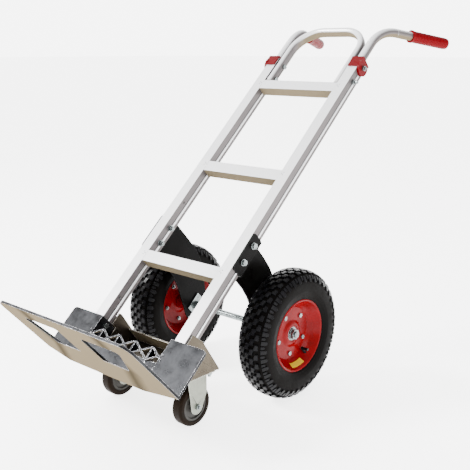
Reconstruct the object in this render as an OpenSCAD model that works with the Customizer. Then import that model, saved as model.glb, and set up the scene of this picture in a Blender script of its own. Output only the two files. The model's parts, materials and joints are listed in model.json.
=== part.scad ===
// Aluminium hand truck with a formed nose plate, two pneumatic wheels and two
// fixed casters, laid back so that it stands on all four wheels.
// Row frame: +X across the truck, -Y towards the nose plate, +Z up, floor at Z = 0.
// Most pieces are drawn in the upright frame (rails along +Z, toe towards -Y,
// zero at the foot of the nose plate) and laid back by recline().

/* [Stance] */
// Angle between the rails and the floor, degrees
recline_angle = 41.84; // [35:0.01:55]

/* [Nose plate] */
// Width of the toe
toe_width = 460; // [420:1:500]
// Depth of the toe from the riser to its front edge
toe_depth = 200; // [180:1:220]
// Thickness of the toe
toe_thickness = 6; // [5:0.5:8]
// Height of the two ears in front of the rails
ear_height = 120; // [110:1:130]
// Height of the ribbed riser between the ears
riser_height = 88; // [70:1:95]
// Thickness of the ears
ear_thickness = 6.5; // [5:0.5:7]

/* [Rails and rungs] */
// Width of each rail
rail_width = 31; // [28:0.5:34]
// Depth of each rail, front to back
rail_depth = 35.5; // [33:0.5:38]
// Wall of the rail extrusion
rail_wall = 2; // [1.8:0.1:2]
// Clear distance between the rails
rail_gap = 252; // [240:1:260]
// Height of the top of the rails above the foot
rail_top = 1047; // [1035:1:1060]
// Face height of each rung
rung_face = 32.5; // [28:0.5:36]
// Depth of each rung
rung_depth = 28; // [24:0.5:30]

/* [Loop handle] */
// Thickness of the flattened loop tube
loop_thickness = 18; // [15:0.5:20]
// Depth of the flattened loop tube
loop_depth = 29; // [24:0.5:31]
// Height of the top of the loop
loop_top = 1180; // [1165:1:1195]
// Radius of the outside of the loop's corners
loop_radius = 88; // [75:1:95]

/* [Handles] */
// Diameter of the bent handle tubes
handle_diameter = 25; // [22:0.5:25]
// Bend radius of the handle tubes
handle_bend_radius = 115; // [100:1:130]
// Bend angle of the handle tubes, degrees
handle_bend = 53.9; // [45:0.1:60]
// Outward turn of the bent handles, degrees
handle_splay = 24.9; // [15:0.1:30]
// Length of the grips
grip_length = 138; // [115:1:150]
// Diameter of the grips
grip_diameter = 33; // [30:0.5:36]

/* [Wheels] */
// Diameter of the pneumatic tyres
tyre_diameter = 333; // [325:1:336]
// Width of the pneumatic tyres
tyre_width = 85; // [75:1:86]
// Distance of each wheel's middle plane from the centre of the truck
wheel_offset = 197.5; // [197:0.5:205]
// Height of the axle along the rails
axle_height = 331; // [320:1:340]
// Distance of the axle behind the foot of the nose plate
axle_back = 272; // [265:1:280]
// Diameter of the axle
axle_diameter = 16; // [15.5:0.5:16]

/* [Casters] */
// Diameter of the caster wheels
caster_diameter = 100; // [98:1:101]
// Width of the caster wheels
caster_width = 33; // [28:1:33]
// Distance of each caster from the centre of the truck
caster_offset = 127.7; // [125:0.1:128]
// Distance of the caster axles behind the foot of the nose plate, along the floor
caster_back = 144; // [140:1:148]

/* [Hidden] */
$fn = 64;

left = -1;
right = 1;
cut = 1;                                   // how far a cutting tool runs past a face
// The row origin is the middle of the footprint of the whole truck
footprint_middle = 499.65;

// The foot of the nose plate hangs at the height that puts the tyres on the floor
foot_height = tyre_diameter / 2 - axle_height * sin(recline_angle)
  + axle_back * cos(recline_angle);

rail_x = rail_gap / 2 + rail_width / 2;    // middle of a rail
rail_front = 8.5;                          // front face of the rails
rail_back = rail_front + rail_depth;
rail_foot = 14;
rail_inside = rail_gap / 2;
rail_outside = rail_inside + rail_width;
ear_inside = 128;
web_thickness = 5;
web_inside = rail_inside - web_thickness;
web_back = 60;
skirt_drop = 12;                           // the bend below the toe
riser_wall_height = 56;                    // the ribs stand above the riser's wall
fin_depth = 20;
fin_drop = 13;                             // how far a fin's top slopes down
rung_heights = [297.5, 606.5, 921.5];
nose_bolt_heights = [50, 106];
nose_bolt_y = 27;
bracket_bolt_heights = [367, 417];
bracket_bolt_y = 28.5;
loop_bolt_heights = [974, 1027];
loop_bolt_y = 26;
free_hole_heights = [185, 497];            // spare holes in the rails
free_hole_y = 19;
free_hole_radius = 3.3;

bolt_radius = 4;                           // M8 bolts
bolt_flats = 13;                           // across the flats of their heads and nuts
bolt_head = 5.3;
nut_height = 6.5;
bolt_clearance = 0.3;

// Wheel bracket, a plate that steps in behind the rail
plate_thickness = 4;
plate_inside = 128;
bracket_low = 338;
bracket_high = 441;
bracket_eye = 45;
washer = 2;

// Caster bracket
sheet = 3;
deck_top = 131;                            // deck the casters are bolted under
deck_front = 48;
deck_back = 207;
cheek_inside = rail_inside - sheet;

// Two-piece rims and hubs, measured from the wheel's middle plane
rim_radius = 93.4;
well_radius = 73;                          // outside of the well where it meets the disc
rim_half_width = 34;
rim_sheet = 3;
rim_joint = 3;                             // where the two halves meet
// The wall the tyre sits on, from the joint out to the foot of the flange
rim_wall = [[well_radius, rim_joint], [79, 13], [89, 28], [rim_radius, rim_half_width - 3.5]];
rim_bolt_circle = 52.5;
rim_bolt_count = 5;
rim_bolt_turn = 41;
valve_angle = 85;
valve_reach = 16;                          // outwards from the wheel's middle plane
valve_foot = well_radius - 13;
valve_radius = 4;
hub_inner_end = -62;
hub_outer_end = 11;
hub_bore = 17.5;
hub_radius = 21;
bearing_width = 11;
running_clearance = 0.05;

caster_axle_height = caster_diameter / 2;
fork_leg = 2.5;
fork_gap = 18;                             // middle of the wheel to inside of a leg
fork_plate_top = deck_top - sheet;
fork_plate = 3;
fork_outside = fork_gap + fork_leg;
caster_hole_x = 20;
caster_hole_y = 42;
sleeve_radius = 6;

// From the upright frame's depth and height to the row frame's Y and Z
function laid(y, z) = [
  z * cos(recline_angle) + y * sin(recline_angle),
  z * sin(recline_angle) - y * cos(recline_angle) + foot_height
];

module recline() {
  translate([0, -footprint_middle, foot_height])
    rotate([recline_angle - 90, 0, 0])
      children();
}

// Pieces drawn level with the floor, zero below the foot of the nose plate
module level() {
  translate([0, -footprint_middle, 0]) children();
}

// Both sides of the truck
module both() {
  for (side = [left, right]) on_side(side) children();
}

module on_side(side) {
  if (side == left) mirror([1, 0, 0]) children();
  else children();
}

// A round bar along +X starting at x
module bar_x(x, length, radius) {
  translate([x, 0, 0]) rotate([0, 90, 0]) cylinder(h = length, r = radius);
}

// A flat outline in Y and Z, thickened along +X from x
module sheet_x(x, thickness) {
  translate([x, 0, 0]) rotate([90, 0, 90]) linear_extrude(thickness) children();
}

module hexagon_x(x, height, across_flats) {
  translate([x, 0, 0]) rotate([0, 90, 0])
    cylinder(h = height, r = across_flats / sqrt(3), $fn = 6);
}

// M8 bolt with its head on the low side of x
module hex_bolt_x(x, length) {
  hexagon_x(x - bolt_head, bolt_head, bolt_flats);
  bar_x(x - 0.5, length + 0.5, bolt_radius);
}

module hex_nut_x(x, height, radius, across_flats) {
  difference() {
    hexagon_x(x, height, across_flats);
    bar_x(x - cut, height + 2 * cut, radius);
  }
}

module washer_x(x, thickness, bore, radius) {
  difference() {
    bar_x(x, thickness, radius);
    bar_x(x - cut, thickness + 2 * cut, bore);
  }
}

// ---- Nose plate ----

module toe_outline() {
  corner = 28;
  half = toe_width / 2;
  difference() {
    union() {
      translate([-half, -toe_depth + corner]) square([toe_width, toe_depth - corner]);
      translate([-half + corner, -toe_depth]) square([toe_width - 2 * corner, toe_depth]);
      for (side = [left, right])
        translate([side * (half - corner), -toe_depth + corner]) circle(corner);
    }
    for (side = [left, right]) on_side(side) toe_window();
  }
}

module toe_window() {
  polygon([[40, -44], [112, -44], [122, -50], [166, -146], [160, -155], [48, -155],
           [40, -147]]);
}

// Crossed ribs above the riser, with a fin that runs back at each crossing's end
module riser_ribs() {
  cell = 58;
  rib = 3.5;
  rib_depth = 5;
  foot = riser_wall_height - 2;
  height = riser_height - foot;
  diagonal = sqrt(cell * cell + height * height);
  lean = atan2(height, cell);
  intersection() {
    translate([-ear_inside, 0, foot]) cube([2 * ear_inside, rib_depth, height]);
    for (i = [-2:1:2]) for (turn = [-1, 1])
      translate([i * cell, rib_depth / 2, foot + height / 2]) rotate([0, turn * lean, 0])
        cube([diagonal, rib_depth, rib], center = true);
  }
  for (i = [-2:1:1])
    sheet_x((i + 0.5) * cell - rib / 2, rib)
      polygon([[0, foot], [0, riser_height], [fin_depth, riser_height - fin_drop],
               [fin_depth, foot], [rail_front, foot - fin_depth]]);
}

// Rounded skirt where the riser bends into the toe
module skirt() {
  rotate([90, 0, 90]) linear_extrude(2 * ear_inside + 4, center = true)
    polygon([[rail_front, 0], [rail_front, -skirt_drop + 4], [4, -skirt_drop],
             [-12, -skirt_drop], [-62, 0]]);
  for (side = [left, right]) on_side(side) hull() {
    translate([ear_inside + 2, 0, 0]) rotate([90, 0, 90]) linear_extrude(0.5)
      polygon([[rail_front, 0], [rail_front, -skirt_drop + 4], [4, -skirt_drop],
               [-12, -skirt_drop], [-62, 0]]);
    translate([toe_width / 2 - 4, 0, 0]) rotate([90, 0, 90]) linear_extrude(0.5)
      polygon([[rail_front, 0], [0, -1], [-8, 0]]);
  }
}

// Flat ear in front of the rail, with a rounded outer top corner
module ear() {
  corner = 9;
  inside = web_inside;
  translate([inside, rail_front, 0]) rotate([90, 0, 0]) linear_extrude(ear_thickness) {
    square([toe_width / 2 - inside, ear_height - corner]);
    square([toe_width / 2 - inside - corner, ear_height]);
    translate([toe_width / 2 - inside - corner, ear_height - corner]) circle(corner);
  }
}

// Web along the inner side of the rail, cut away above the caster deck
module inner_web() {
  corner = 20;
  front = rail_front - ear_thickness;
  round_y = web_back - corner;
  round_z = ear_height - corner;
  difference() {
    sheet_x(web_inside, web_thickness) {
      polygon([[front, 0], [rail_front, 0], [rail_back, 24], [web_back, 49],
               [web_back, round_z], [round_y, round_z], [round_y, ear_height],
               [front, ear_height]]);
      translate([round_y, round_z]) circle(corner);
    }
    nose_bolt_holes();
  }
}

module nose_bolt_holes() {
  for (z = nose_bolt_heights)
    translate([0, nose_bolt_y, z])
      bar_x(web_inside - cut, 60, bolt_radius + bolt_clearance);
}

module nose_plate() {
  color("darkgray") recline() {
    linear_extrude(toe_thickness) toe_outline();
    translate([-toe_width / 2, 0, 0]) cube([toe_width, rail_front, toe_thickness]);
    translate([-ear_inside, 4, 0])
      cube([2 * ear_inside, rail_front - 4, riser_wall_height]);
    riser_ribs();
    skirt();
    both() ear();
    both() inner_web();
  }
}

// Bolts run outwards through the web, the rail and the outer cheek
module nose_plate_bolts() {
  color("silver") recline() both()
    for (z = nose_bolt_heights) translate([0, nose_bolt_y, z])
      hex_bolt_x(web_inside, 49);
}

module nose_plate_nuts() {
  color("silver") recline() both()
    for (z = nose_bolt_heights) translate([0, nose_bolt_y, z])
      hex_nut_x(rail_outside + sheet, nut_height, bolt_radius, bolt_flats);
}

// ---- Rails and rungs ----

// Closed box with a step line down each side and a groove along the back
module rail_profile() {
  half = rail_width / 2;
  step_y = 20.5;
  difference() {
    translate([-half, 0]) square([rail_width, rail_depth]);
    for (side = [left, right]) on_side(side)
      polygon([[half + 1, step_y - 1.2], [half - 1, step_y], [half - 1, step_y + 1],
               [half + 1, step_y + 3]]);
    translate([-4, rail_depth - 1]) square([8, 2]);
    translate([-half + rail_wall, rail_wall])
      square([rail_width - 2 * rail_wall, rail_depth - 2 * rail_wall]);
  }
}

module cross_hole(x, y, z, length, radius) {
  translate([0, y, z]) bar_x(x, length, radius);
}

module rail() {
  through = rail_width + 2 * cut;
  difference() {
    translate([rail_x, rail_front, rail_foot])
      linear_extrude(rail_top - rail_foot) rail_profile();
    for (z = nose_bolt_heights)
      cross_hole(rail_inside - cut, nose_bolt_y, z, through, bolt_radius + bolt_clearance);
    for (z = bracket_bolt_heights)
      cross_hole(rail_inside - cut, bracket_bolt_y, z, through, bolt_radius + bolt_clearance);
    for (z = loop_bolt_heights)
      cross_hole(rail_inside - cut, loop_bolt_y, z, through, bolt_radius + bolt_clearance);
    for (z = free_hole_heights)
      cross_hole(rail_inside - cut, free_hole_y, z, rail_wall + 2 * cut, free_hole_radius);
  }
}

module rung(z) {
  wall = 2;
  inner = rung_face - 2 * wall;
  translate([0, rail_front + rung_depth / 2, z]) difference() {
    cube([rail_gap, rung_depth, rung_face], center = true);
    cube([rail_gap + 2 * cut, rung_depth - 2 * wall, inner], center = true);
  }
}

module rail_left() { color("gainsboro") recline() on_side(left) rail(); }
module rail_right() { color("gainsboro") recline() rail(); }
module rung_lower() { color("gainsboro") recline() rung(rung_heights[0] + 16); }
module rung_middle() { color("gainsboro") recline() rung(rung_heights[1] + 16); }
module rung_upper() { color("gainsboro") recline() rung(rung_heights[2] + 16); }

// ---- Loop handle ----

loop_foot = 957;
loop_half = rail_inside - 0.5;
loop_bend = loop_radius - loop_thickness / 2;
loop_middle_y = rail_front + loop_depth / 2 + 0.5;

// Cross-section of the flattened tube: thickness along X, depth along Y
module loop_section(wall) {
  t = loop_thickness / 2 - wall;
  d = loop_depth / 2 - wall;
  for (side = [left, right]) translate([0, side * (d - t)]) circle(t);
  square([2 * t, 2 * (d - t)], center = true);
}

module loop_solid(wall) {
  leg_x = loop_half - loop_thickness / 2;
  bend_z = loop_top - loop_radius;
  flat = leg_x - loop_bend;
  extra = wall > 0 ? cut : 0;
  both() translate([leg_x, 0, loop_foot - extra])
    linear_extrude(bend_z - loop_foot + extra) loop_section(wall);
  both() translate([flat, 0, bend_z]) rotate([90, 0, 0])
    rotate_extrude(angle = 90) translate([loop_bend, 0]) loop_section(wall);
  translate([-flat, 0, bend_z + loop_bend]) rotate([0, 90, 0])
    linear_extrude(2 * flat) loop_section(wall);
}

module loop_handle() {
  color("gainsboro") recline() difference() {
    translate([0, loop_middle_y, 0]) loop_solid(0);
    translate([0, loop_middle_y, 0]) loop_solid(2);
    both() for (z = loop_bolt_heights)
      cross_hole(rail_inside - loop_thickness - 4, loop_bolt_y, z, loop_thickness + 6,
                 bolt_radius + bolt_clearance);
  }
}

module loop_bolts() {
  color("silver") recline() both()
    for (z = loop_bolt_heights) translate([0, loop_bolt_y, z])
      hex_bolt_x(loop_half - loop_thickness, 66);
}

module loop_nuts() {
  color("dimgray") recline() both() {
    translate([0, loop_bolt_y, loop_bolt_heights[0]])
      hex_nut_x(rail_outside, nut_height, bolt_radius, bolt_flats);
    translate([0, loop_bolt_y, loop_bolt_heights[1]])
      hex_nut_x(rail_outside + cap_side, nut_height, bolt_radius, bolt_flats);
  }
}

// ---- Bent handles, grips and red end caps ----

handle_foot = 955;
handle_y = rail_front + rail_wall + handle_diameter / 2 + 1.5;
handle_bend_z = 1122;
handle_reach = 188.6;
handle_wall = 2;
cap_side = 6;

// Along the tube after the bend, starting where the bend ends
module after_bend() {
  rotate([0, 0, -handle_splay])
    translate([0, handle_bend_radius, handle_bend_z]) rotate([-handle_bend, 0, 0])
      translate([0, -handle_bend_radius, 0]) children();
}

module handle_solid(radius, extra) {
  translate([0, 0, handle_foot - extra])
    cylinder(h = handle_bend_z - handle_foot + extra, r = radius);
  rotate([0, 0, -handle_splay])
    translate([0, handle_bend_radius, handle_bend_z]) rotate([90, 0, -90])
      rotate_extrude(angle = handle_bend) translate([handle_bend_radius, 0]) circle(radius);
  after_bend() cylinder(h = handle_reach + extra, r = radius);
}

module handle_tube() {
  translate([rail_x, handle_y, 0]) difference() {
    handle_solid(handle_diameter / 2, 0);
    handle_solid(handle_diameter / 2 - handle_wall, cut);
    for (z = loop_bolt_heights)
      translate([0, loop_bolt_y - handle_y, z])
        bar_x(-30, 60, bolt_radius + bolt_clearance);
  }
}

// Ribbed grip with a small collar at its front and a rounded closed end
module grip() {
  end = 3;
  start = handle_reach + end - grip_length;
  radius = grip_diameter / 2;
  bore = handle_diameter / 2;
  ring_count = 22;
  pitch = (grip_length - 14) / ring_count;
  translate([rail_x, handle_y, 0]) after_bend() translate([0, 0, start])
    rotate_extrude() difference() {
      union() {
        square([radius - 1, grip_length - 3]);
        square([radius - 4, grip_length]);
        square([radius + 1.5, 5]);
        translate([radius - 4, grip_length - 3]) circle(3, $fn = 32);
        for (i = [0:1:ring_count - 1])
          translate([0, 7 + i * pitch]) square([radius, pitch * 0.6]);
      }
      translate([0, -cut]) square([bore, grip_length - end + cut]);
      translate([-radius, -cut]) square([radius, grip_length + 2 * cut]);
    }
}

module handle_tube_left() { color("gainsboro") recline() on_side(left) handle_tube(); }
module handle_tube_right() { color("gainsboro") recline() handle_tube(); }
module grip_left() { color("firebrick") recline() on_side(left) grip(); }
module grip_right() { color("firebrick") recline() grip(); }

// Cap over the top of the rail, with a front flap and a round side lobe
module rail_cap() {
  flap = 30;
  skin = 4;
  lobe_radius = 23;
  lobe_z = rail_top - 19;
  lobe_y = rail_front + 17;
  difference() {
    union() {
      translate([rail_inside, rail_front - skin, rail_top])
        cube([rail_width + cap_side, rail_depth + skin, skin]);
      translate([rail_inside + 2, rail_front - skin, rail_top - flap])
        cube([rail_width + cap_side - 2, skin, flap + skin]);
      translate([rail_outside, lobe_y, lobe_z]) rotate([0, 90, 0])
        cylinder(h = cap_side, r = lobe_radius);
      translate([rail_outside, rail_front - skin, lobe_z])
        cube([cap_side, rail_depth / 2 + skin, rail_top + skin - lobe_z]);
    }
    translate([rail_x, handle_y, rail_top - cut])
      cylinder(h = skin + 2 * cut, r = handle_diameter / 2 + 0.2);
    translate([0, loop_bolt_y, loop_bolt_heights[1]])
      bar_x(rail_outside - cut, cap_side + 2 * cut, bolt_radius + bolt_clearance);
  }
}

module rail_cap_left() { color("crimson") recline() on_side(left) rail_cap(); }
module rail_cap_right() { color("crimson") recline() rail_cap(); }

// ---- Main wheel brackets and axle ----

module bracket_outline() {
  difference() {
    union() {
      polygon([[rail_back + 0.5, bracket_low], [rail_back + 0.5, bracket_high],
               [112, bracket_high], [150, bracket_high - 2.5], [185, bracket_high - 10],
               [225, bracket_high - 28], [262, bracket_high - 56],
               [axle_back + 35, axle_height + 28],
               [axle_back, axle_height - bracket_eye + 0.3],
               [axle_back - 14, axle_height - bracket_eye + 2],
               [212, 308], [172, 325], [140, 334], [110, bracket_low]]);
      translate([axle_back, axle_height]) circle(bracket_eye);
    }
    translate([axle_back, axle_height]) circle(axle_diameter / 2);
  }
}

module wheel_bracket() {
  back = rail_back + 0.5;
  corner = 8;
  strap_depth = back + plate_thickness - rail_front;
  strap_high = bracket_high + 2;
  strap_low = bracket_low - 2;
  sheet_x(plate_inside, plate_thickness) bracket_outline();
  translate([plate_inside, back, bracket_low])
    cube([rail_outside + plate_thickness - plate_inside, plate_thickness,
          bracket_high - bracket_low]);
  difference() {
    sheet_x(rail_outside, plate_thickness) {
      translate([rail_front, strap_low + corner])
        square([strap_depth, strap_high - strap_low - 2 * corner]);
      translate([rail_front + corner, strap_low])
        square([strap_depth - 2 * corner, strap_high - strap_low]);
      for (y = [rail_front + corner, rail_front + strap_depth - corner])
        for (z = [strap_low + corner, strap_high - corner])
          translate([y, z]) circle(corner);
    }
    for (z = bracket_bolt_heights)
      cross_hole(rail_outside - cut, bracket_bolt_y, z, plate_thickness + 2 * cut,
                 bolt_radius + bolt_clearance);
  }
}

module wheel_bracket_left() { color([0.12, 0.12, 0.12]) recline() on_side(left) wheel_bracket(); }
module wheel_bracket_right() { color([0.12, 0.12, 0.12]) recline() wheel_bracket(); }

// Bolts run inwards from the strap, so the nuts sit on the inner side of the rail
module bracket_bolts() {
  start = rail_outside + plate_thickness + washer;
  color("silver") recline() both()
    for (z = bracket_bolt_heights) translate([0, bracket_bolt_y, z]) {
      hexagon_x(start, bolt_head, bolt_flats);
      bar_x(start - 49, 49.5, bolt_radius);
    }
}

module bracket_washers() {
  color("silver") recline() both()
    for (z = bracket_bolt_heights) translate([0, bracket_bolt_y, z])
      for (x = [rail_outside + plate_thickness, rail_inside - washer])
        washer_x(x, washer, bolt_radius, 8.5);
}

module bracket_nuts() {
  color("silver") recline() both()
    for (z = bracket_bolt_heights) translate([0, bracket_bolt_y, z])
      hex_nut_x(rail_inside - washer - nut_height, nut_height, bolt_radius, bolt_flats);
}

hub_start = wheel_offset + hub_inner_end;
hub_stop = wheel_offset + hub_outer_end;
axle_plate = 4;
axle_end = hub_stop + 15;

module at_axle() { recline() translate([0, axle_back, axle_height]) children(); }

module axle() {
  color("silver") at_axle() bar_x(-axle_end, 2 * axle_end, axle_diameter / 2);
}

// Square stiffening plates inside the wheel brackets
module axle_plates() {
  size = 52;
  color("silver") at_axle() both() difference() {
    translate([plate_inside - axle_plate, -size / 2, -size / 2])
      cube([axle_plate, size, size]);
    bar_x(plate_inside - axle_plate - cut, axle_plate + 2 * cut, axle_diameter / 2);
  }
}

module axle_spacers() {
  plate_outside = plate_inside + plate_thickness;
  gap = 0.3;
  color("silver") at_axle() both() {
    washer_x(plate_outside, hub_start - plate_outside - gap, axle_diameter / 2, 13);
    washer_x(hub_stop + gap, 2.5, axle_diameter / 2, 15);
  }
}

module axle_nuts() {
  color("silver") at_axle() both() {
    hex_nut_x(plate_inside - axle_plate - 12, 12, axle_diameter / 2, 24);
    hex_nut_x(hub_stop + 2.8, 8, axle_diameter / 2, 24);
  }
}

// ---- Caster bracket and forks ----

cheek_peak = laid(54, 157);
wall_top = [180, 168];
deck_tail = [[deck_back, deck_top], [deck_back, deck_top - sheet],
             [deck_front, deck_top - sheet]];

// Outer cheeks lie on the rails
module cheek_outline() {
  polygon(concat([laid(14, 24), laid(14, 150), cheek_peak], deck_tail, [laid(42, 24)]));
}

// Inner cheeks start just behind the rails and the webs of the nose plate
module inner_cheek_outline() {
  gap = 1.5;
  polygon(concat([laid(rail_back + gap, ear_height + gap), laid(rail_back + gap, 155),
                  cheek_peak], deck_tail,
                 [laid(web_back + gap, 50), laid(web_back + gap, ear_height + gap)]));
}

module caster_bracket() {
  wide = rail_outside + sheet;
  color("darkgray") level() {
    difference() {
      both() {
        sheet_x(rail_outside, sheet) cheek_outline();
        sheet_x(cheek_inside, sheet) inner_cheek_outline();
      }
      translate([0, 0, foot_height]) rotate([recline_angle - 90, 0, 0])
        both() nose_bolt_holes();
    }
    difference() {
      translate([-wide, deck_front, deck_top - sheet])
        cube([2 * wide, deck_back - deck_front, sheet]);
      caster_bolt_places()
        translate([0, 0, deck_top - sheet - cut])
          cylinder(h = sheet + 2 * cut, r = bolt_radius + bolt_clearance);
    }
    rear_wall(wide);
  }
}

module rear_wall(wide) {
  lean = atan2(wall_top[1] - deck_top, wall_top[0] - deck_back);
  slope = norm(wall_top - [deck_back, deck_top]);
  translate([-wide, deck_back, deck_top - sheet]) rotate([lean, 0, 0])
    cube([2 * wide, slope + sheet, sheet]);
}

module caster_bolt_places() {
  for (side = [left, right]) for (dx = [-1, 1]) for (dy = [-1, 1])
    translate([side * caster_offset + dx * caster_hole_x,
               caster_back + dy * caster_hole_y, 0]) children();
}

module caster_mount_bolts() {
  color("silver") level() caster_bolt_places() {
    translate([0, 0, deck_top]) cylinder(h = bolt_head, r = bolt_flats / sqrt(3), $fn = 6);
    translate([0, 0, deck_top - 18]) cylinder(h = 18.5, r = bolt_radius);
  }
}

module caster_mount_nuts() {
  top = fork_plate_top - fork_plate;
  color("silver") level() caster_bolt_places()
    difference() {
      translate([0, 0, top - nut_height])
        cylinder(h = nut_height, r = bolt_flats / sqrt(3), $fn = 6);
      translate([0, 0, top - nut_height - cut])
        cylinder(h = nut_height + 2 * cut, r = bolt_radius);
    }
}

module fork_leg_outline() {
  round_end = 19;
  top = fork_plate_top - fork_plate;
  difference() {
    union() {
      polygon([[-27, top], [33, top], [33, 78], [18.5, 46], [-17.5, 43], [-25, 98]]);
      translate([0, caster_axle_height]) circle(round_end);
    }
    translate([0, caster_axle_height]) circle(bolt_radius);
  }
}

module caster_fork() {
  half_wide = 31;
  half_long = 51;
  top = fork_plate_top - fork_plate;
  translate([caster_offset, caster_back, 0]) {
    difference() {
      translate([-half_wide, -half_long, top])
        cube([2 * half_wide, 2 * half_long, fork_plate]);
      for (dx = [-1, 1]) for (dy = [-1, 1])
        translate([dx * caster_hole_x, dy * caster_hole_y, top - cut])
          cylinder(h = fork_plate + 2 * cut, r = bolt_radius + bolt_clearance);
    }
    for (x = [-fork_outside, fork_gap]) sheet_x(x, fork_leg) fork_leg_outline();
  }
}

module caster_fork_left() { color("lightgray") level() on_side(left) caster_fork(); }
module caster_fork_right() { color("lightgray") level() caster_fork(); }

module at_casters() {
  level() both() translate([caster_offset, caster_back, caster_axle_height]) children();
}

// Axle bolt inside a steel sleeve that the wheel turns on
module caster_axles() {
  color("silver") at_casters() {
    hex_bolt_x(-fork_outside, 2 * fork_outside + 9);
    washer_x(-fork_gap, 2 * fork_gap, bolt_radius, sleeve_radius);
  }
}

module caster_axle_nuts() {
  color("silver") at_casters()
    hex_nut_x(fork_outside, nut_height, bolt_radius, bolt_flats);
}

// ---- Pneumatic wheels ----

// A wheel's parts are drawn about its own axis: +X is the outer side
module at_wheel(side) {
  recline() on_side(side) translate([wheel_offset, axle_back, axle_height])
    rotate([0, 90, 0]) children();
}

// Tyre shell as one smooth ring of radius and half width arcs
module tyre_ring() {
  outer = tyre_diameter / 2;
  half = tyre_width / 2;
  tread_half = 30;
  mid = 122;
  bead_gap = 42;
  flank = [[mid, half - 4], [rim_radius + 1, rim_half_width], rim_wall[3], rim_wall[2],
           rim_wall[1]];
  rotate_extrude($fn = 128) difference() {
    union() {
      polygon(concat(flank, [for (i = [4:-1:0]) [flank[i][0], -flank[i][1]]]));
      intersection() {
        translate([mid, 0]) circle(half);
        translate([rim_radius + 1, -half]) square([outer - rim_radius, 2 * half]);
      }
      translate([mid, -tread_half - 4]) square([outer - mid - 5, 2 * tread_half + 8]);
      translate([mid, -tread_half]) square([outer - mid, 2 * tread_half]);
    }
    translate([mid - 2, 0]) circle(half - 8);
    translate([well_radius, -bead_gap / 2]) square([mid - well_radius, bead_gap]);
    for (z = [-14, 14]) translate([outer - 5, z - 2]) square([6, 4]);
  }
}

module inner_tube_ring() {
  rotate_extrude($fn = 96) translate([120, 0]) difference() {
    circle(33.5);
    circle(31);
  }
}

// Pressed half rim: a flat disc, a flared wall and a rolled flange
module rim_half(disc) {
  t = rim_sheet;
  inside = [for (i = [2, 1]) rim_wall[i] + [-t, t / 2]];
  rotate_extrude($fn = 96) {
    translate([hub_radius, disc]) square([well_radius - t - hub_radius, t]);
    polygon(concat([[well_radius - 2 * t, disc], [well_radius, disc]], rim_wall,
                   [[rim_radius, rim_half_width], [rim_radius - 2, rim_half_width + t / 2],
                    [rim_radius - 5, rim_half_width]],
                   inside, [[well_radius - t, disc + 2 * t], [well_radius - 2 * t, disc + t]]));
    polygon([[hub_radius, disc], [hub_radius + 16, disc], [hub_radius + 16, disc + t],
             [hub_radius + 5, disc + 9], [hub_radius, disc + 9]]);
  }
}

module rim_bolt_places(radius) {
  for (i = [0:1:rim_bolt_count - 1])
    rotate([0, 0, i * 360 / rim_bolt_count + rim_bolt_turn]) translate([radius, 0, 0]) children();
}

module rim_outer() {
  difference() {
    rim_half(rim_joint);
    rim_bolt_places(rim_bolt_circle) cylinder(h = 40, r = 3.3, center = true);
    rotate([0, 0, valve_angle]) translate([valve_foot, 0, valve_reach])
      rotate([0, 90, 0]) cylinder(h = 30, r = valve_radius);
  }
}

module rim_inner() {
  difference() {
    mirror([0, 0, 1]) rim_half(-rim_joint);
    rim_bolt_places(rim_bolt_circle) cylinder(h = 40, r = 3.3, center = true);
  }
}

// Bent rubber stem with a cap, from the tube out through the well wall
module valve() {
  rotate([0, 0, valve_angle]) {
    translate([valve_foot, 0, valve_reach]) {
      rotate([0, 90, 0]) cylinder(h = 28, r = valve_radius);
      sphere(valve_radius);
      cylinder(h = 18, r = valve_radius - 0.4);
    }
  }
}

module hub() {
  length = hub_outer_end - hub_inner_end;
  difference() {
    translate([0, 0, hub_inner_end]) cylinder(h = length, r = hub_radius);
    translate([0, 0, hub_inner_end + bearing_width])
      cylinder(h = length - 2 * bearing_width, r = hub_bore - 3);
    for (z = [hub_inner_end - cut, hub_outer_end - bearing_width])
      translate([0, 0, z]) cylinder(h = bearing_width + cut, r = hub_bore);
  }
}

module wheel_bearings() {
  for (z = [hub_inner_end, hub_outer_end - bearing_width])
    translate([0, 0, z]) difference() {
      cylinder(h = bearing_width, r = hub_bore);
      translate([0, 0, -cut])
        cylinder(h = bearing_width + 2 * cut, r = axle_diameter / 2 + running_clearance);
    }
}

module rim_bolts() {
  rim_bolt_places(rim_bolt_circle) {
    translate([0, 0, rim_joint + rim_sheet]) cylinder(h = 4, r = 10 / sqrt(3), $fn = 6);
    translate([0, 0, rim_joint - rim_sheet - 8]) cylinder(h = 14.5, r = 3);
  }
}

module rim_nuts() {
  rim_bolt_places(rim_bolt_circle) translate([0, 0, rim_joint - rim_sheet - 5])
    difference() {
      cylinder(h = 5, r = 10 / sqrt(3), $fn = 6);
      translate([0, 0, -cut]) cylinder(h = 5 + 2 * cut, r = 3);
    }
}

module tyre_left() { color([0.1, 0.1, 0.1]) at_wheel(left) tyre_ring(); }
module inner_tube_left() { color([0.2, 0.2, 0.2]) at_wheel(left) inner_tube_ring(); }
module valve_left() { color([0.05, 0.05, 0.05]) at_wheel(left) valve(); }
module rim_outer_left() { color("red") at_wheel(left) rim_outer(); }
module rim_inner_left() { color("red") at_wheel(left) rim_inner(); }
module hub_left() { color("red") at_wheel(left) hub(); }
module wheel_bearings_left() { color("silver") at_wheel(left) wheel_bearings(); }
module rim_bolts_left() { color("silver") at_wheel(left) rim_bolts(); }
module rim_nuts_left() { color("silver") at_wheel(left) rim_nuts(); }
module tyre_right() { color([0.1, 0.1, 0.1]) at_wheel(right) tyre_ring(); }
module inner_tube_right() { color([0.2, 0.2, 0.2]) at_wheel(right) inner_tube_ring(); }
module valve_right() { color([0.05, 0.05, 0.05]) at_wheel(right) valve(); }
module rim_outer_right() { color("red") at_wheel(right) rim_outer(); }
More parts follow.
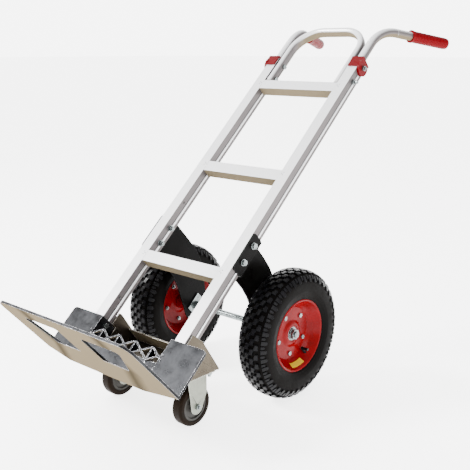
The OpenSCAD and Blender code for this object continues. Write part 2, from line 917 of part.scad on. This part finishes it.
module rim_inner_right() { color("red") at_wheel(right) rim_inner(); }
module hub_right() { color("red") at_wheel(right) hub(); }
module wheel_bearings_right() { color("silver") at_wheel(right) wheel_bearings(); }
module rim_bolts_right() { color("silver") at_wheel(right) rim_bolts(); }
module rim_nuts_right() { color("silver") at_wheel(right) rim_nuts(); }

// ---- Caster wheels ----

caster_core_radius = 37;
caster_bush_radius = 9;

module at_caster(side) {
  level() on_side(side) translate([caster_offset, caster_back, caster_axle_height])
    rotate([0, 90, 0]) children();
}

module caster_tyre() {
  radius = caster_diameter / 2;
  half = caster_width / 2 - 1.5;
  corner = 6;
  rotate_extrude($fn = 96) {
    translate([caster_core_radius, -half])
      square([radius - corner - caster_core_radius, 2 * half]);
    translate([caster_core_radius, -half + corner])
      square([radius - caster_core_radius, 2 * (half - corner)]);
    for (z = [-half + corner, half - corner])
      translate([radius - corner, z]) circle(corner, $fn = 32);
  }
}

module caster_core() {
  half = 13;
  rotate_extrude($fn = 96) difference() {
    translate([caster_bush_radius, -half])
      square([caster_core_radius - caster_bush_radius, 2 * half]);
    for (side = [-1, 1]) translate([18, side * half - 4]) square([13, 8]);
  }
}

module caster_bush() {
  half = 14;
  difference() {
    cylinder(h = 2 * half, r = caster_bush_radius, center = true);
    cylinder(h = 2 * half + 2 * cut, r = sleeve_radius + running_clearance, center = true);
  }
}

module caster_tyre_left() { color([0.12, 0.12, 0.12]) at_caster(left) caster_tyre(); }
module caster_core_left() { color("gray") at_caster(left) caster_core(); }
module caster_bush_left() { color("silver") at_caster(left) caster_bush(); }
module caster_tyre_right() { color([0.12, 0.12, 0.12]) at_caster(right) caster_tyre(); }
module caster_core_right() { color("gray") at_caster(right) caster_core(); }
module caster_bush_right() { color("silver") at_caster(right) caster_bush(); }

nose_plate();
nose_plate_bolts();
nose_plate_nuts();
rail_left();
rail_right();
rung_lower();
rung_middle();
rung_upper();
loop_handle();
loop_bolts();
loop_nuts();
handle_tube_left();
handle_tube_right();
grip_left();
grip_right();
rail_cap_left();
rail_cap_right();
wheel_bracket_left();
wheel_bracket_right();
bracket_bolts();
bracket_washers();
bracket_nuts();
axle();
axle_plates();
axle_spacers();
axle_nuts();
caster_bracket();
caster_fork_left();
caster_fork_right();
caster_mount_bolts();
caster_mount_nuts();
caster_axles();
caster_axle_nuts();
tyre_left();
inner_tube_left();
valve_left();
rim_outer_left();
rim_inner_left();
hub_left();
wheel_bearings_left();
rim_bolts_left();
rim_nuts_left();
tyre_right();
inner_tube_right();
valve_right();
rim_outer_right();
rim_inner_right();
hub_right();
wheel_bearings_right();
rim_bolts_right();
rim_nuts_right();
caster_tyre_left();
caster_core_left();
caster_bush_left();
caster_tyre_right();
caster_core_right();
caster_bush_right();
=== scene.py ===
import json
import math

import bmesh
import bpy
from mathutils import Matrix, Vector


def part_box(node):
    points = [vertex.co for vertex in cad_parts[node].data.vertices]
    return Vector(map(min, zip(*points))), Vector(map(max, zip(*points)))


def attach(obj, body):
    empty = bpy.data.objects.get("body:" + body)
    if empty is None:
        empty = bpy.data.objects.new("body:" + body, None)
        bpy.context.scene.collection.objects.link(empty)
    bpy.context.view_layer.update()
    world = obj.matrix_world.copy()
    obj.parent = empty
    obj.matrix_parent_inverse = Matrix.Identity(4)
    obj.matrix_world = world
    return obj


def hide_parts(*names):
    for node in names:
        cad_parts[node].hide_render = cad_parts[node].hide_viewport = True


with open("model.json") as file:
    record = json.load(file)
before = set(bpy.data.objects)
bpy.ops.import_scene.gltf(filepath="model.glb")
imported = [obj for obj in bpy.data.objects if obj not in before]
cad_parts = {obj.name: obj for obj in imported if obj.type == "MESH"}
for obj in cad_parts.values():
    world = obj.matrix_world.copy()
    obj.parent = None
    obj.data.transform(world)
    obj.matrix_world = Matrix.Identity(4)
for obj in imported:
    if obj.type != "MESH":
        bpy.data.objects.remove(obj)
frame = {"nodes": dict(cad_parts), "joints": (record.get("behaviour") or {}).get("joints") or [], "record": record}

# A hand truck laid back on two pneumatic wheels and two casters. Metres throughout.
# "Upright" places have Z up the rails, Y to the back and X across; LAY turns them into
# the row frame.

MM = 0.001
SIDES = {"left": -1, "right": 1}
NODES = frame["nodes"]
JOINTS = {joint["name"]: Vector(joint["pos_m"]) for joint in frame["joints"]}
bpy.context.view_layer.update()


def middle(node):
    low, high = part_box(node)
    return (low + high) / 2


up_rails = (middle("rung_upper") - middle("rung_lower")).normalized()
lean = math.atan2(up_rails.z, up_rails.y)
LAY = Matrix.Rotation(lean - math.pi / 2, 4, "X")
STAND = LAY.inverted()


def upright_box(node):
    """The box of a CAD node in the upright frame."""
    corners = [STAND @ vertex.co for vertex in NODES[node].data.vertices]
    low = Vector([min(p[i] for p in corners) for i in range(3)])
    high = Vector([max(p[i] for p in corners) for i in range(3)])
    return low, high


# ---- Materials ----

# Sockets of the Mix node when it mixes colours
MIX_FACTOR, MIX_FIRST, MIX_SECOND, MIX_RESULT = 0, 6, 7, 2
# Height of the fine grain's bumps
RELIEF = 0.0004


def feed(tree, socket, value):
    """Links the socket to another node's output, or sets its constant value."""
    if isinstance(value, bpy.types.NodeSocket):
        tree.links.new(value, socket)
    else:
        socket.default_value = value


def node_of(tree, kind, **values):
    """A shader node with its inputs set by name."""
    made = tree.nodes.new(kind)
    for name, value in values.items():
        made.inputs[name.replace("_", " ")].default_value = value
    return made


def mix_colour(tree, factor, first, second):
    mix = tree.nodes.new("ShaderNodeMix")
    mix.data_type = "RGBA"
    feed(tree, mix.inputs[MIX_FACTOR], factor)
    feed(tree, mix.inputs[MIX_FIRST], first)
    feed(tree, mix.inputs[MIX_SECOND], second)
    return mix.outputs[MIX_RESULT]


def ranged(tree, value, low, high, new_low, new_high):
    """value mapped from low..high to new_low..new_high, clamped."""
    made = node_of(tree, "ShaderNodeMapRange", From_Min=low, From_Max=high,
                   To_Min=new_low, To_Max=new_high)
    tree.links.new(value, made.inputs["Value"])
    return made.outputs["Result"]


def math_node(tree, operation, *values):
    made = tree.nodes.new("ShaderNodeMath")
    made.operation = operation
    for socket, value in zip(made.inputs, values):
        feed(tree, socket, value)
    return made.outputs[0]


def rgba(colour, scale=1):
    return (*(c * scale for c in colour), 1)


def surface(name, colour, metallic=0.0, roughness=0.5, *, grain=(300, 300, 300),
            grain_turn=0.0, shade=0.12, patch=6.0, patch_shade=0.15, rough_spread=0.12,
            bump=0.15, edge_highlight=None, edge_size=0.0015, underside_reflection=None, flank_shade=None,
            back_light=None, crease=None, shine=0.5):
    """A procedural material: fine grain, larger cloudy patches, uneven roughness and
    a bump; optionally a painted highlight on rounded edges, a painted reflection on
    faces that look down, painted shade on faces that look sideways, painted light on
    faces that look to the rear, and a brown painted shade on faces that look down at a
    set distance from X = 0."""
    made = bpy.data.materials.new(name)
    made.use_nodes = True
    tree = made.node_tree
    tree.nodes.clear()
    output = tree.nodes.new("ShaderNodeOutputMaterial")
    shader = node_of(tree, "ShaderNodeBsdfPrincipled", Metallic=metallic,
                     Specular_IOR_Level=shine)
    place = tree.nodes.new("ShaderNodeTexCoord")
    turn = node_of(tree, "ShaderNodeMapping", Rotation=(grain_turn, 0, 0), Scale=grain)
    tree.links.new(place.outputs["Object"], turn.inputs["Vector"])
    fine = node_of(tree, "ShaderNodeTexNoise", Scale=1.0, Detail=4.0, Roughness=0.6)
    tree.links.new(turn.outputs["Vector"], fine.inputs["Vector"])
    cloud = node_of(tree, "ShaderNodeTexNoise", Scale=patch, Detail=5.0, Roughness=0.65)
    tree.links.new(place.outputs["Object"], cloud.inputs["Vector"])
    tint = mix_colour(tree, ranged(tree, fine.outputs["Fac"], 0.35, 0.7, 0, 1),
                      rgba(colour), rgba(colour, 1 - shade))
    tint = mix_colour(tree, ranged(tree, cloud.outputs["Fac"], 0.42, 0.7, 0, 1),
                      tint, rgba(colour, 1 - patch_shade))
    if underside_reflection or flank_shade or back_light:
        normal = tree.nodes.new("ShaderNodeNewGeometry")
        split = tree.nodes.new("ShaderNodeSeparateXYZ")
        tree.links.new(normal.outputs["True Normal"], split.inputs["Vector"])
    # Painted shade: faces that look sideways take a darker colour
    if flank_shade:
        across = math_node(tree, "ABSOLUTE", split.outputs["X"])
        sideways = ranged(tree, across, 0.6, 0.9, 0, 1)
        tint = mix_colour(tree, sideways, tint, rgba(flank_shade))
    # Painted light: faces that look to the rear take a lighter colour
    if back_light:
        behind = ranged(tree, split.outputs["Y"], 0.2, 0.5, 0, 1)
        tint = mix_colour(tree, behind, tint, rgba(back_light))
    if underside_reflection:
        below_reflection = rgba(underside_reflection)
        # Painted shade: a darker brown band on downward faces at a set distance across from X = 0
        if crease:
            spot = tree.nodes.new("ShaderNodeSeparateXYZ")
            tree.links.new(place.outputs["Object"], spot.inputs["Vector"])
            out = math_node(tree, "ABSOLUTE", spot.outputs["X"])
            off = math_node(tree, "ABSOLUTE", math_node(tree, "SUBTRACT", out, crease))
            below_reflection = mix_colour(tree, ranged(tree, off, 0.002, 0.03, 0.9, 0), below_reflection,
                               rgba(underside_reflection, 0.3))
        # Painted reflection of a warm floor on faces that look down; these undersides also lose the metal look,
        # which would mirror the bright floor
        down = ranged(tree, split.outputs["Z"], -0.1, -0.42, 0, 1)
        tint = mix_colour(tree, down, tint, below_reflection)
        tree.links.new(ranged(tree, down, 0, 1, metallic, 0), shader.inputs["Metallic"])
    rough = ranged(tree, cloud.outputs["Fac"], 0.3, 0.7,
                   max(0.03, roughness - rough_spread), min(1, roughness + rough_spread))
    # Painted highlight: rounded edges take a lighter colour of their own
    if edge_highlight:
        rounded = node_of(tree, "ShaderNodeBevel", Radius=edge_size)
        rounded.samples = 4
        flat = tree.nodes.new("ShaderNodeNewGeometry")
        agree = tree.nodes.new("ShaderNodeVectorMath")
        agree.operation = "DOT_PRODUCT"
        tree.links.new(rounded.outputs["Normal"], agree.inputs[0])
        tree.links.new(flat.outputs["True Normal"], agree.inputs[1])
        edge_highlight_mask = ranged(tree, agree.outputs["Value"], 0.98, 0.86, 0, 1)
        tint = mix_colour(tree, edge_highlight_mask, tint, rgba(edge_highlight))
    tree.links.new(tint, shader.inputs["Base Color"])
    tree.links.new(rough, shader.inputs["Roughness"])
    relief = node_of(tree, "ShaderNodeBump", Strength=bump, Distance=RELIEF)
    tree.links.new(fine.outputs["Fac"], relief.inputs["Height"])
    tree.links.new(relief.outputs["Normal"], shader.inputs["Normal"])
    tree.links.new(shader.outputs["BSDF"], output.inputs["Surface"])
    return made


# Drawn grain runs along the rails, so the texture is turned with them
ALONG_RAILS = dict(grain=(900, 900, 12), grain_turn=math.pi / 2 - lean)
# Painted reflection of a warm floor, laid on the aluminium's undersides
FLOOR_REFLECTION = (0.125, 0.100, 0.064)

# The material slots of the record, then the looks that only new pieces wear
# The lighter colours given for rounded edges are painted highlights
MATERIALS = {
    # Satin aluminium: painted reflection of a warm floor on its undersides, painted shade on its sides
    "frame_aluminium": surface("satin aluminium", (0.72, 0.72, 0.73), 0.6, 0.4,
                               **ALONG_RAILS, shade=0.14, patch_shade=0.12, bump=0.1,
                               underside_reflection=FLOOR_REFLECTION, flank_shade=(0.115, 0.104, 0.104), shine=0.0),
    # Painted shade: the near-black colour darkens the nose plate beyond cast aluminium's own grey, standing for
    # the dark surroundings its faces reflect
    "cast_aluminium": surface("cast aluminium", (0.012, 0.0123, 0.0132), 0.9, 0.34,
                              grain=(500, 500, 500), shade=0.35, patch=32,
                              patch_shade=-1.2, bump=0.3, edge_highlight=(0.5, 0.5, 0.52),
                              edge_size=0.0007, underside_reflection=FLOOR_REFLECTION, back_light=(0.13, 0.13, 0.135),
                              crease=0.13, shine=0.0),
    # Painted reflection: the brown colour stands for a warm floor mirrored in the sheet, not the aluminium's own
    # colour
    "bright_aluminium": surface("bent sheet aluminium", (0.075, 0.062, 0.045), 0.9, 0.28,
                                grain=(60, 700, 700), patch=14, patch_shade=0.4,
                                edge_highlight=(0.7, 0.68, 0.62), underside_reflection=FLOOR_REFLECTION, shine=0.0),
    "zinc_steel": surface("zinc plated steel", (0.20, 0.225, 0.225), 0.9, 0.24,
                          grain=(700, 700, 700), patch=90, patch_shade=0.6, bump=0.15,
                          edge_highlight=(0.55, 0.58, 0.58), edge_size=0.0006),
    "caster_steel": surface("pressed caster steel", (0.20, 0.21, 0.17), 0.5, 0.42,
                            grain=(600, 600, 600), patch=40, patch_shade=0.25,
                            edge_highlight=(0.6, 0.6, 0.56)),
    "black_paint": surface("black paint", (0.0012, 0.0010, 0.0009), 0.0, 0.35,
                           shine=0.03, grain=(450, 450, 450), patch=20, bump=0.12,
                           edge_highlight=(0.03, 0.03, 0.03)),
    "red_paint": surface("red paint", (0.14, 0.0003, 0.0016), 0.0, 0.24, shine=0.07,
                         grain=(260, 260, 260), shade=0.1, patch=22, patch_shade=0.4,
                         bump=0.05),
    "red_grip": surface("red grip rubber", (0.12, 0.0002, 0.0024), 0.0, 0.3, shine=0.05,
                        grain=(800, 800, 800), patch=40, bump=0.2),
    "red_cap": surface("moulded red plastic", (0.10, 0.0003, 0.0022), 0.0, 0.3,
                       shine=0.05, grain=(900, 900, 900), patch=50, bump=0.15),
    # Painted sheen: the faint blue in the tread's colour stands for its bluish highlights
    "tyre_rubber": surface("tyre rubber", (0.0016, 0.0015, 0.0020), 0.0, 0.3, shine=0.09,
                           grain=(900, 900, 900), shade=0.3, patch=30, patch_shade=-0.8,
                           rough_spread=0.15, bump=0.4),
    "sidewall": surface("tyre sidewall", (0.0014, 0.0011, 0.0009), 0.0, 0.45, shine=0.02,
                        grain=(900, 900, 900), shade=0.3, patch=24, patch_shade=-0.8,
                        rough_spread=0.15, bump=0.3),
    "black_rubber": surface("smooth black rubber", (0.003, 0.003, 0.003), 0.0, 0.4,
                            shine=0.1, grain=(700, 700, 700), bump=0.15),
    "caster_rubber": surface("caster rubber", (0.006, 0.0035, 0.002), 0.0, 0.5,
                             shine=0.03, grain=(700, 700, 700), patch=35,
                             patch_shade=-0.5, bump=0.2),
    "caster_hub": surface("grey moulded hub", (0.03, 0.028, 0.025), 0.0, 0.45, shine=0.15,
                          grain=(600, 600, 600), patch=45, bump=0.15),
    "label": surface("blank label", (0.42, 0.26, 0.004), 0.0, 0.5, shine=0.1,
                     grain=(300, 300, 300), shade=0.1, patch=60, bump=0.05),
    "lip": surface("polished lip", (0.75, 0.75, 0.76), 0.6, 0.3, **ALONG_RAILS,
                   shade=0.08),
}


# ---- Carried-over CAD nodes ----

# Rounding of the sharp edges of each material's nodes
ROUNDING = {"cast_aluminium": 0.8 * MM, "frame_aluminium": 0.7 * MM, "red_cap": 1.8 * MM,
            "bright_aluminium": 0.6 * MM, "black_paint": 0.8 * MM,
            "caster_steel": 0.7 * MM}
OTHER_ROUNDING = 0.4 * MM


def smooth(piece):
    for face in piece.data.polygons:
        face.use_smooth = True


def soften(piece, width, segments=2, angle=32):
    """Welds the mesh, rounds its sharp edges and shades it smooth."""
    weld = piece.modifiers.new("weld", "WELD")
    weld.merge_threshold = 0.00001
    bevel = piece.modifiers.new("rounding", "BEVEL")
    bevel.width = width
    bevel.segments = segments
    bevel.limit_method = "ANGLE"
    bevel.angle_limit = math.radians(angle)
    even = piece.modifiers.new("even", "WEIGHTED_NORMAL")
    even.weight = 90
    smooth(piece)


for entry in frame["record"]["subparts"]:
    piece = NODES[entry["node"]]
    slot = entry["material_slot"]
    piece.data.materials.clear()
    piece.data.materials.append(MATERIALS[slot])
    soften(piece, ROUNDING.get(slot, OTHER_ROUNDING))


# ---- New pieces ----

def linked(name, data):
    """An object of the scene around a mesh, a light or a camera."""
    made = bpy.data.objects.new(name, data)
    bpy.context.scene.collection.objects.link(made)
    return made


def new_piece(name, mesh, slot, body, *replaced):
    """Links a bmesh as a piece that rides on a CAD body."""
    data = bpy.data.meshes.new(name)
    bmesh.ops.recalc_face_normals(mesh, faces=mesh.faces)
    mesh.to_mesh(data)
    mesh.free()
    piece = linked(name, data)
    data.materials.append(MATERIALS[slot])
    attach(piece, body)
    if replaced:
        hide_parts(*replaced)
    return piece


def bridge(mesh, low, high):
    """Joins two closed rings of vertices with a band of faces."""
    for i in range(len(low)):
        k = (i + 1) % len(low)
        mesh.faces.new((low[i], low[k], high[k], high[i]))


def revolve(mesh, profile, steps, place):
    """Turns a closed profile of (radius, reach) points about the local Z axis."""
    rings = []
    for i in range(steps):
        turn = Matrix.Rotation(2 * math.pi * i / steps, 4, "Z")
        rings.append([mesh.verts.new(place @ (turn @ Vector((r, 0, z))))
                      for r, z in profile])
    for i in range(steps):
        bridge(mesh, rings[i], rings[(i + 1) % steps])


def wheel_place(side):
    """The local frame of a wheel, with Z along its axle."""
    centre = JOINTS[f"wheel_{side}_spin"]
    return Matrix.Translation(centre) @ Matrix.Rotation(math.pi / 2, 4, "Y")


# Tyres: a smooth carcass with interlocking tread blocks and shoulder lugs

TREAD_HEIGHT = 5 * MM
TREAD_REPEATS = 42
ROW_PITCH = 12.2 * MM
SHOULDER = 40.5 * MM        # arc length from the crown to the shoulder lugs
CARCASS_INSET = 1.5 * MM    # how far the carcass stays inside the CAD tyre
CARCASS_STEPS = 144
BLOCK_ROOT = 1.5 * MM       # how deep a block starts inside the carcass
BLOCK_TAPER = 0.9


class Carcass:
    """The outer curve of the tyre's section, from bead to bead."""

    def __init__(self, outer, half_width, bead):
        self.middle = outer - half_width - CARCASS_INSET
        self.crown = outer - TREAD_HEIGHT - self.middle
        self.half = half_width - CARCASS_INSET
        self.bead = bead
        count = 200
        self.samples = [self.point(t / count * math.pi / 2)
                        for t in range(-count, count + 1)]
        lengths = [0.0]
        for a, b in zip(self.samples, self.samples[1:]):
            lengths.append(lengths[-1] + (b - a).length)
        half_length = lengths[-1] / 2
        self.lengths = [length - half_length for length in lengths]

    def point(self, turn):
        """turn runs from -90 to 90 degrees over the tread; 0 is the crown."""
        squareness = 0.72
        across = math.copysign(abs(math.sin(turn)) ** squareness, turn)
        out = math.cos(turn) ** squareness
        return Vector((self.middle + self.crown * out, self.half * across))

    def at(self, reach):
        """Place and outward normal at an arc length from the crown."""
        i = 1
        while i < len(self.lengths) - 1 and self.lengths[i] < reach:
            i += 1
        a, b = self.samples[i - 1], self.samples[i]
        span = self.lengths[i] - self.lengths[i - 1]
        place = a.lerp(b, (reach - self.lengths[i - 1]) / span)
        along = (b - a).normalized()
        normal = Vector((along.y, -along.x))
        return place, -normal if along.y < 0 else normal

    def profile(self):
        """Closed section: tread, sidewalls with two raised rings, beads and lining."""
        steps = 24
        tread = [self.point(math.pi / 2 * t / steps) for t in range(-steps, steps + 1)]
        points = [(p.x, p.y) for p in tread]
        drop = self.middle - self.bead
        bead_half = 31.5 * MM
        wall = []
        for t in range(1, 15):
            f = t / 14
            ring = 0.9 * MM * (math.exp(-((f - 0.25) / 0.04) ** 2)
                               + 1.6 * math.exp(-((f - 0.8) / 0.06) ** 2))
            wall.append((self.middle - drop * f,
                         self.half - (self.half - bead_half) * f ** 2.2 + ring * 0.6))
        points += wall
        points += [(self.bead, bead_half - 8 * MM), (self.middle, self.half - 9 * MM),
                   (self.middle + self.crown - 12 * MM, 0)]
        points += [(self.middle, -self.half + 9 * MM), (self.bead, -bead_half + 8 * MM)]
        points += [(r, -z) for r, z in reversed(wall)]
        return points


def block(mesh, carcass, outline, turn, reach, height, place):
    """One tread block: an outline of (around, across) points raised off the carcass."""
    layers = []
    for rise, size in ((-BLOCK_ROOT, 1.0), (height, BLOCK_TAPER)):
        layer = []
        for around, across in outline:
            at, normal = carcass.at(reach + across * size)
            at = at + normal * rise
            angle = turn + around * size / (carcass.middle + carcass.crown)
            spot = Vector((at.x * math.cos(angle), at.x * math.sin(angle), at.y))
            layer.append(mesh.verts.new(place @ spot))
        layers.append(layer)
    low, high = layers
    mesh.faces.new(high)
    bridge(mesh, low, high)


def outline_mm(*points):
    return [(x * MM, y * MM) for x, y in points]


KEY_BLOCK = outline_mm((-7.8, -4), (1, -4), (1, -6.4), (7.8, -6.4), (7.8, 4), (-1, 4),
                       (-1, 6.4), (-7.8, 6.4))
SIDE_BLOCK = outline_mm((-7.4, -4.2), (7.4, -4.2), (7.4, 3.6), (1, 3.6), (1, 6),
                        (-7.4, 6))
LUG = outline_mm((-6, -7), (6, -7), (6, 7), (3, 10.5), (-3, 10.5), (-6, 7))
SHORT_LUG = outline_mm((-4, -7), (4, -7), (4, 1), (1.8, 3.5), (-1.8, 3.5), (-4, 1))


def tyre(side):
    name = "tyre_" + side
    low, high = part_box(name)
    rim_low, rim_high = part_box("rim_outer_" + side)
    bead = (rim_high.z - rim_low.z) / 2 - 3 * MM
    carcass = Carcass((high.z - low.z) / 2, (high.x - low.x) / 2, bead)
    place = wheel_place(side)
    mesh = bmesh.new()
    revolve(mesh, carcass.profile(), CARCASS_STEPS, place)
    body = new_piece(f"tyre_carcass_{side}", mesh, "tyre_rubber", "wheel_" + side, name)
    body.data.materials[0] = MATERIALS["sidewall"]
    smooth(body)

    mesh = bmesh.new()
    height = TREAD_HEIGHT - 0.3 * MM
    for i in range(TREAD_REPEATS):
        for row in (-2, -1, 0, 1, 2):
            turn = 2 * math.pi * (i + row % 2 / 2) / TREAD_REPEATS
            shape = SIDE_BLOCK if abs(row) == 2 else KEY_BLOCK
            flip = -1 if row > 0 else 1
            shape = [(a * flip, b * flip) for a, b in shape]
            block(mesh, carcass, shape, turn, row * ROW_PITCH, height, place)
        for flip in (-1, 1):
            for lug, shift in ((LUG, 0.5), (SHORT_LUG, 0)):
                shape = [(a, b * flip) for a, b in lug]
                turn = 2 * math.pi * (i + shift) / TREAD_REPEATS
                block(mesh, carcass, shape, turn, flip * SHOULDER, height * 0.7, place)
    tread = new_piece(f"tyre_tread_{side}", mesh, "tyre_rubber", "wheel_" + side)
    soften(tread, 0.5 * MM, 1, 40)


for side in SIDES:
    tyre(side)


# Rails: a rounded lip and a dark strip of painted shadow, for the shade in the groove beside the lip, run down
# both sides of each extrusion

LIP_BULGE = 1.6 * MM        # how far the lip stands off the rail's side
LIP_HALF = 3 * MM           # half of its depth, front to back
LIP_MIDDLE = 23.5 * MM      # from the rail's front to the middle of the lip
GROOVE_SHADOW = (18.6 * MM, 20.6 * MM)   # from the rail's front to the two edges of the painted groove shadow
CAP_LENGTH = 44 * MM        # the red cap covers the outer side of the rail's top


def strip(mesh, profile, low, high):
    """Extrudes a closed (across, depth) outline along the rails."""
    rings = [[mesh.verts.new(LAY @ Vector((x, y, z))) for x, y in profile]
             for z in (low, high)]
    for ring in rings:
        mesh.faces.new(ring)
    bridge(mesh, *rings)


for side, flip in SIDES.items():
    low, high = upright_box("rail_" + side)
    lips = bmesh.new()
    groove_shadows = bmesh.new()
    for face, outward in ((low.x, -1), (high.x, 1)):
        top = high.z - (CAP_LENGTH if outward == flip else 3 * MM)
        depth = low.y + LIP_MIDDLE
        turns = [math.radians(30 * k) for k in range(-3, 4)]
        arc = [(face + outward * LIP_BULGE * math.cos(t), depth + LIP_HALF * math.sin(t))
               for t in turns]
        root = face - outward * 1.5 * MM
        strip(lips, arc + [(root, depth + LIP_HALF), (root, depth - LIP_HALF)],
              low.z + MM, top)
        # A dark strip of painted shadow in the groove just ahead of the lip
        near, deep = face + outward * 0.15 * MM, face - outward * 1.4 * MM
        front, rear = low.y + GROOVE_SHADOW[0], low.y + GROOVE_SHADOW[1]
        strip(groove_shadows, [(near, front), (near, rear), (deep, rear), (deep, front)],
              low.z + MM, top)
    piece = new_piece("rail_lips_" + side, lips, "frame_aluminium", "frame")
    piece.data.materials[0] = MATERIALS["lip"]
    new_piece("rail_groove_shadows_" + side, groove_shadows, "black_paint", "frame")


# Small punch marks on the rail fronts beside the ends of each rung

MARK_RADIUS = 1.5 * MM
MARK_SIDES = 12
# (depth behind the rung's front, share of the radius)
MARK_LAYERS = ((0.3 * MM, 1.0), (-0.15 * MM, 1.0), (-0.25 * MM, 0.6))
# (out from the rung's end, up the rail), mm
MARK_PLACES = ((5, 6), (10, 10), (10, 2))


def punch_mark(mesh, x, y, z):
    turns = [2 * math.pi * k / MARK_SIDES for k in range(MARK_SIDES)]
    rings = []
    for rise, size in MARK_LAYERS:
        radius = MARK_RADIUS * size
        rings.append([mesh.verts.new(LAY @ Vector((x + radius * math.cos(t), y + rise,
                                                   z + radius * math.sin(t))))
                      for t in turns])
    for low, high in zip(rings, rings[1:]):
        bridge(mesh, low, high)
    mesh.faces.new(rings[0])
    mesh.faces.new(rings[-1])


marks = bmesh.new()
for rung in ("rung_lower", "rung_middle", "rung_upper"):
    low, high = upright_box(rung)
    for flip in (-1, 1):
        for out, up in MARK_PLACES:
            punch_mark(marks, flip * (high.x + out * MM), low.y,
                       (low.z + high.z) / 2 + up * MM)
new_piece("rung_punch_marks", marks, "zinc_steel", "frame")


# A blank label inside the dish of the right wheel

LABEL_COLUMNS = 12
LABEL_ROWS = 4


def label(side):
    place = wheel_place(side)
    mesh = bmesh.new()
    # (radius, reach) on the rim's dish, at the label's two long edges
    near, far = Vector((76.6, 15.4)) * MM, Vector((84.8, 27.6)) * MM
    sheets = []
    for lift in (0.25 * MM, 0.7 * MM):
        grid = []
        for i in range(LABEL_COLUMNS + 1):
            turn = math.radians(-13 + 33 * i / LABEL_COLUMNS)
            row = []
            for k in range(LABEL_ROWS + 1):
                at = near.lerp(far, k / LABEL_ROWS)
                radius = at.x - lift
                spot = Vector((radius * math.cos(turn), radius * math.sin(turn),
                               at.y + lift * 0.6))
                row.append(mesh.verts.new(place @ spot))
            grid.append(row)
        sheets.append(grid)
    for grid in sheets:
        for i in range(LABEL_COLUMNS):
            for k in range(LABEL_ROWS):
                mesh.faces.new((grid[i][k], grid[i + 1][k], grid[i + 1][k + 1],
                                grid[i][k + 1]))
    rim = [(i, 0) for i in range(LABEL_COLUMNS + 1)]
    rim += [(LABEL_COLUMNS, k) for k in range(1, LABEL_ROWS + 1)]
    rim += [(i, LABEL_ROWS) for i in range(LABEL_COLUMNS - 1, -1, -1)]
    rim += [(0, k) for k in range(LABEL_ROWS - 1, 0, -1)]
    bridge(mesh, *([grid[i][k] for i, k in rim] for grid in sheets))
    piece = new_piece("wheel_label_" + side, mesh, "red_paint", "wheel_" + side)
    piece.data.materials[0] = MATERIALS["label"]


label("right")


# ---- Stage, light and camera ----

mesh = bmesh.new()
bmesh.ops.create_grid(mesh, x_segments=1, y_segments=1, size=80)
data = bpy.data.meshes.new("floor")
mesh.to_mesh(data)
mesh.free()
floor = linked("floor", data)
pale = surface("pale floor", (0.93, 0.93, 0.93), 0.0, 0.8, grain=(40, 40, 40),
               shade=0.01, patch=2, patch_shade=0.01, bump=0.02)
glow = pale.node_tree.nodes["Principled BSDF"]
glow.inputs["Emission Color"].default_value = (1, 1, 1, 1)
glow.inputs["Emission Strength"].default_value = 3.4
floor.data.materials.append(pale)

world = bpy.data.worlds.new("studio")
bpy.context.scene.world = world
world.use_nodes = True
background = world.node_tree.nodes["Background"]
background.inputs["Color"].default_value = (1.0, 1.0, 1.0, 1)


def glow_towards(direction, low, high, strength):
    """Extra brightness of the sky around a direction."""
    tree = world.node_tree
    place = tree.nodes.new("ShaderNodeTexCoord")
    facing = tree.nodes.new("ShaderNodeVectorMath")
    facing.operation = "DOT_PRODUCT"
    tree.links.new(place.outputs["Generated"], facing.inputs[0])
    facing.inputs[1].default_value = Vector(direction).normalized()
    return ranged(tree, facing.outputs["Value"], low, high, 0, strength)


# A pale wall behind the truck and a bright panel over its upper left
SKY = 1.7
wall = glow_towards((-0.66, 0.75, 0.1), 0.75, 0.95, 5.0)
panel = glow_towards((-0.66, -0.15, 0.75), 0.55, 0.92, 1.7)
both = math_node(world.node_tree, "ADD", wall, panel)
sky = math_node(world.node_tree, "ADD", both, SKY)
world.node_tree.links.new(sky, background.inputs["Strength"])


def softbox(name, place, aim, width, height, power):
    light = bpy.data.lights.new(name, "AREA")
    light.shape = "RECTANGLE"
    light.size = width
    light.size_y = height
    light.energy = power
    lamp = linked(name, light)
    lamp.location = place
    towards = Vector(aim) - Vector(place)
    lamp.rotation_euler = towards.to_track_quat("-Z", "Y").to_euler()


softbox("key", (-2.0, -2.2, 2.4), (0, 0, 0.3), 0.8, 0.8, 240)
softbox("side", (2.8, -0.6, 1.5), (0, 0, 0.4), 1.2, 1.6, 40)

# The camera looks down at the truck from the right of its nose plate
LOOKS_DOWN = 13.46
LOOKS_LEFT = 41.48
camera = bpy.data.cameras.new("camera")
camera.sensor_width = 36
camera.lens = 59.36
shot = linked("camera", camera)
shot.location = (1.3216, -1.5495, 0.8638)
shot.rotation_euler = (math.radians(90 - LOOKS_DOWN), 0, math.radians(LOOKS_LEFT))
bpy.context.scene.camera = shot
